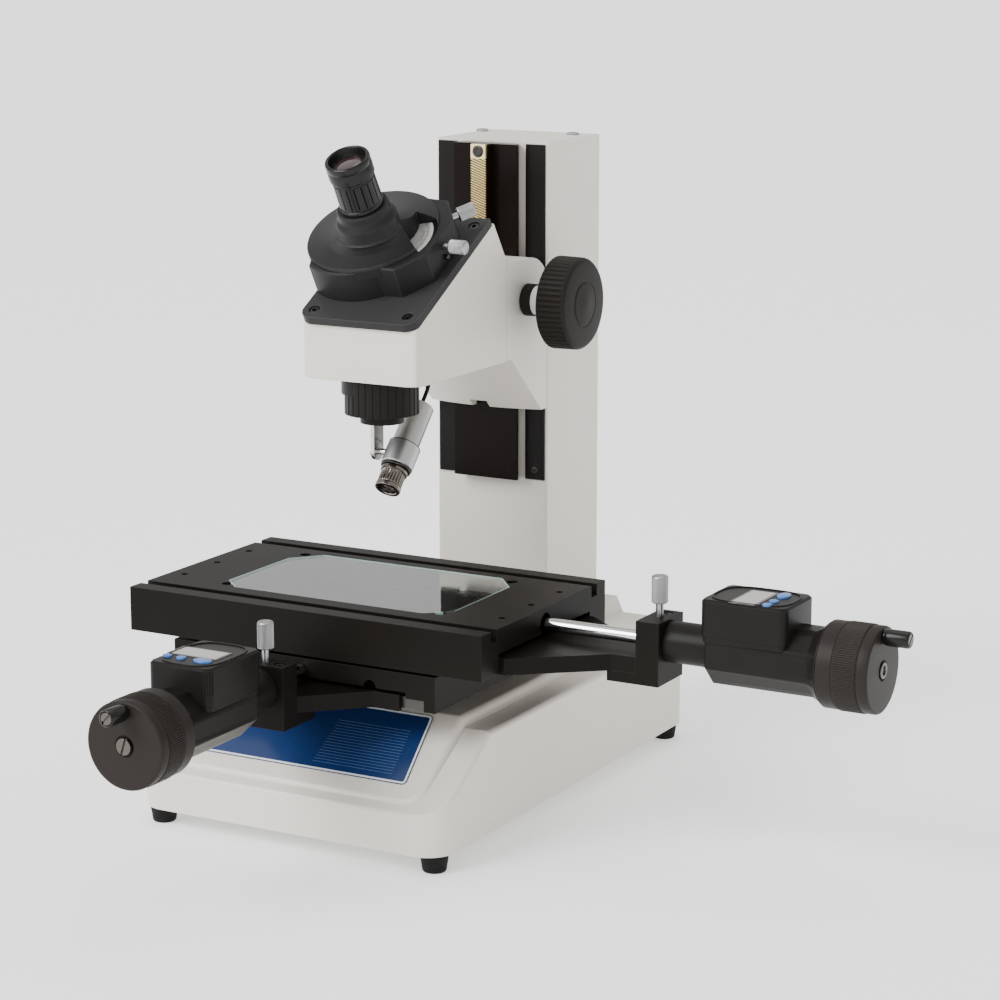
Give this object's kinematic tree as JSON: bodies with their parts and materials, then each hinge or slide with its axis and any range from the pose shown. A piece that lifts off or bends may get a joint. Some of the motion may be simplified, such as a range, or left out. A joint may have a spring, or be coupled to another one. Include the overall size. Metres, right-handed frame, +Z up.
{
  "type": "measuring microscope",
  "caption": "Toolmaker's measuring microscope: cross-slide stage with digital micrometer heads, tilted protractor eyepiece head on a rack column, side lamp.",
  "frame": {"origin": "on the plane the instrument stands on, in the middle of base and column, 4 mm in front of the objective's axis", "axes": "+X to the right of the instrument, +Y to its rear, +Z up"},
  "size_m": [0.4641, 0.4948, 0.4009],
  "materials": {
    "white_paint": "satin",
    "grey_paint": "satin",
    "black_paint": "satin",
    "stage_black": "satin",
    "blue_plate": "satin",
    "foot_rubber": "matt",
    "black_plastic": "matt",
    "knob_plastic": "matt",
    "white_plastic": "matt",
    "blue_plastic": "gloss",
    "lcd_grey": "satin",
    "rack_brass": "machined",
    "plain_steel": "turned",
    "dark_steel": "blackened",
    "rail_silver": "ground",
    "lamp_silver": "satin anodised",
    "knurl_silver": "knurled",
    "dial_white": "engraved",
    "chrome_ring": "knurled",
    "stage_glass": "polished",
    "lens_glass": "coated"
  },
  "bodies": {
    "base": {"base_housing": "white_paint", "base_bottom_plate": "grey_paint", "feet": "foot_rubber", "front_plate": "blue_plate", "power_inlet": "black_plastic", "column": "white_paint", "column_top_cap": "white_paint", "guide_strips": "black_paint", "column_screws": "plain_steel", "dovetail_rail": "black_paint", "rack": "rack_brass", "y_rail_plate": "rail_silver", "y_bracket_arm": "stage_black", "y_bracket_block": "stage_black", "y_head_body": "black_plastic", "y_lcd": "lcd_grey"},
    "power_switch": {"power_switch": "black_plastic"},
    "dimmer_knob": {"dimmer_knob": "black_plastic"},
    "saddle": {"saddle": "stage_black", "x_rail_plate": "rail_silver", "x_bracket_arm": "stage_black", "x_bracket_block": "stage_black", "x_head_body": "black_plastic", "x_lcd": "lcd_grey"},
    "table": {"table": "stage_black", "stage_glass": "stage_glass"},
    "head": {"carriage": "white_paint", "head_casting": "white_paint", "cover_plate": "black_paint", "cover_screws": "dark_steel", "drum_housing": "black_paint", "objective_mount": "black_plastic", "lamp_bar": "plain_steel"},
    "focus": {"focus_shaft": "plain_steel", "focus_knobs": "knob_plastic", "focus_rings": "white_plastic"},
    "eyepiece": {"eyepiece_body": "black_plastic", "eyepiece_lens": "lens_glass"},
    "angle_dial": {"angle_dial": "dial_white"},
    "feed_screw": {"feed_screw": "knurl_silver"},
    "dial_clamp_screw": {"dial_clamp_screw": "knurl_silver"},
    "lamp": {"lamp_tube": "lamp_silver", "lamp_lead": "black_plastic"},
    "lamp_nut": {"lamp_nut": "chrome_ring"},
    "x_spindle": {"x_spindle": "plain_steel"},
    "x_thimble": {"x_thimble": "knob_plastic", "x_thimble_screws": "dark_steel"},
    "x_crank_knob": {"x_crank_knob": "black_plastic"},
    "x_clamp_screw": {"x_clamp_screw": "knurl_silver"},
    "x_button_large": {"x_button_large": "blue_plastic"},
    "x_button_mid": {"x_button_mid": "blue_plastic"},
    "x_button_end": {"x_button_end": "blue_plastic"},
    "y_spindle": {"y_spindle": "plain_steel"},
    "y_thimble": {"y_thimble": "knob_plastic", "y_thimble_screws": "dark_steel"},
    "y_crank_knob": {"y_crank_knob": "black_plastic"},
    "y_clamp_screw": {"y_clamp_screw": "knurl_silver"},
    "y_button_large": {"y_button_large": "blue_plastic"},
    "y_button_mid": {"y_button_mid": "blue_plastic"},
    "y_button_end": {"y_button_end": "blue_plastic"}
  },
  "joints": [
    {"name": "y_thimble_turn", "type": "hinge", "parent": "base", "child": "y_thimble", "pos_m": [0, -0.2395, 0.1034], "axis": [0, 1, 0], "range_deg": [-4860, 13140]},
    {"name": "y_spindle_slide", "type": "slide", "parent": "base", "child": "y_spindle", "axis": [0, 1, 0], "range_m": [-0.0135, 0.0365]},
    {"name": "saddle_slide", "type": "slide", "parent": "base", "child": "saddle", "axis": [0, 1, 0], "range_m": [-0.0135, 0.0365]},
    {"name": "x_thimble_turn", "type": "hinge", "parent": "saddle", "child": "x_thimble", "pos_m": [0.308, -0.013, 0.1291], "axis": [-1, 0, 0], "range_deg": [-18000, 0]},
    {"name": "x_spindle_slide", "type": "slide", "parent": "saddle", "child": "x_spindle", "axis": [1, 0, 0], "range_m": [0, 0.05]},
    {"name": "table_slide", "type": "slide", "parent": "saddle", "child": "table", "axis": [1, 0, 0], "range_m": [0, 0.05]},
    {"name": "x_crank_spin", "type": "hinge", "parent": "x_thimble", "child": "x_crank_knob", "pos_m": [0.3365, -0.013, 0.1481], "axis": [1, 0, 0], "continuous": true},
    {"name": "y_crank_spin", "type": "hinge", "parent": "y_thimble", "child": "y_crank_knob", "pos_m": [0, -0.268, 0.1224], "axis": [0, -1, 0], "continuous": true},
    {"name": "x_clamp_turn", "type": "hinge", "parent": "saddle", "child": "x_clamp_screw", "pos_m": [0.19315, -0.013, 0.155], "axis": [0, 0, 1], "range_deg": [0, 720]},
    {"name": "y_clamp_turn", "type": "hinge", "parent": "base", "child": "y_clamp_screw", "pos_m": [0, -0.12465, 0.13], "axis": [0, 0, 1], "range_deg": [0, 720]},
    {"name": "head_lift", "type": "slide", "parent": "base", "child": "head", "axis": [0, 0, 1], "range_m": [-0.04, 0.06]},
    {"name": "focus_turn", "type": "hinge", "parent": "head", "child": "focus", "pos_m": [0, 0.1109, 0.2973], "axis": [1, 0, 0], "range_deg": [-275.1, 183.4]},
    {"name": "eyepiece_turn", "type": "hinge", "parent": "head", "child": "eyepiece", "pos_m": [0, -0.02364, 0.37895], "axis": [0, -0.5, 0.866], "range_deg": [-150, 150]},
    {"name": "dial_turn", "type": "hinge", "parent": "head", "child": "angle_dial", "pos_m": [-0.002, 0.01175, 0.34165], "axis": [0, -0.5, 0.866], "continuous": true},
    {"name": "feed_turn", "type": "hinge", "parent": "head", "child": "feed_screw", "pos_m": [0.03286, 0.04429, 0.35697], "axis": [0.6972, 0.6209, 0.3585], "continuous": true},
    {"name": "dial_clamp_turn", "type": "hinge", "parent": "head", "child": "dial_clamp_screw", "pos_m": [0.04, 0.01965, 0.33997], "axis": [1, 0, 0], "range_deg": [0, 360]},
    {"name": "lamp_tilt", "type": "hinge", "parent": "head", "child": "lamp", "pos_m": [-0.0125, 0.0205, 0.2125], "axis": [1, 0, 0], "range_deg": [-5, 5]},
    {"name": "lamp_nut_turn", "type": "hinge", "parent": "lamp", "child": "lamp_nut", "pos_m": [0, 0.009, 0.192], "axis": [0, 0.6717, 0.7408], "range_deg": [-90, 90]},
    {"name": "power_rocker", "type": "hinge", "parent": "base", "child": "power_switch", "pos_m": [0.03, 0.214, 0.042], "axis": [1, 0, 0], "range_deg": [0, 10]},
    {"name": "dimmer_turn", "type": "hinge", "parent": "base", "child": "dimmer_knob", "pos_m": [-0.105, 0.04, 0.044], "axis": [-1, 0, 0], "range_deg": [0, 270]},
    {"name": "x_press_large", "type": "slide", "parent": "saddle", "child": "x_button_large", "axis": [0, 0, -1], "range_m": [0, 0.0006], "stiffness_N_per_m": 300, "springref_m": -0.0004},
    {"name": "x_press_mid", "type": "slide", "parent": "saddle", "child": "x_button_mid", "axis": [0, 0, -1], "range_m": [0, 0.0006], "stiffness_N_per_m": 300, "springref_m": -0.0004},
    {"name": "x_press_end", "type": "slide", "parent": "saddle", "child": "x_button_end", "axis": [0, 0, -1], "range_m": [0, 0.0006], "stiffness_N_per_m": 300, "springref_m": -0.0004},
    {"name": "y_press_large", "type": "slide", "parent": "base", "child": "y_button_large", "axis": [0, 0, -1], "range_m": [0, 0.0006], "stiffness_N_per_m": 300, "springref_m": -0.0004},
    {"name": "y_press_mid", "type": "slide", "parent": "base", "child": "y_button_mid", "axis": [0, 0, -1], "range_m": [0, 0.0006], "stiffness_N_per_m": 300, "springref_m": -0.0004},
    {"name": "y_press_end", "type": "slide", "parent": "base", "child": "y_button_end", "axis": [0, 0, -1], "range_m": [0, 0.0006], "stiffness_N_per_m": 300, "springref_m": -0.0004}
  ],
  "couplings": [
    {"joint": "y_thimble_turn", "follows": "saddle_slide", "rad_per_m": 6283.2},
    {"joint": "y_spindle_slide", "follows": "saddle_slide", "ratio": 1},
    {"joint": "x_thimble_turn", "follows": "table_slide", "rad_per_m": -6283.2},
    {"joint": "x_spindle_slide", "follows": "table_slide", "ratio": 1},
    {"joint": "focus_turn", "follows": "head_lift", "rad_per_m": -80},
    {"joint": "feed_turn", "follows": "dial_turn", "ratio": -12}
  ]
}
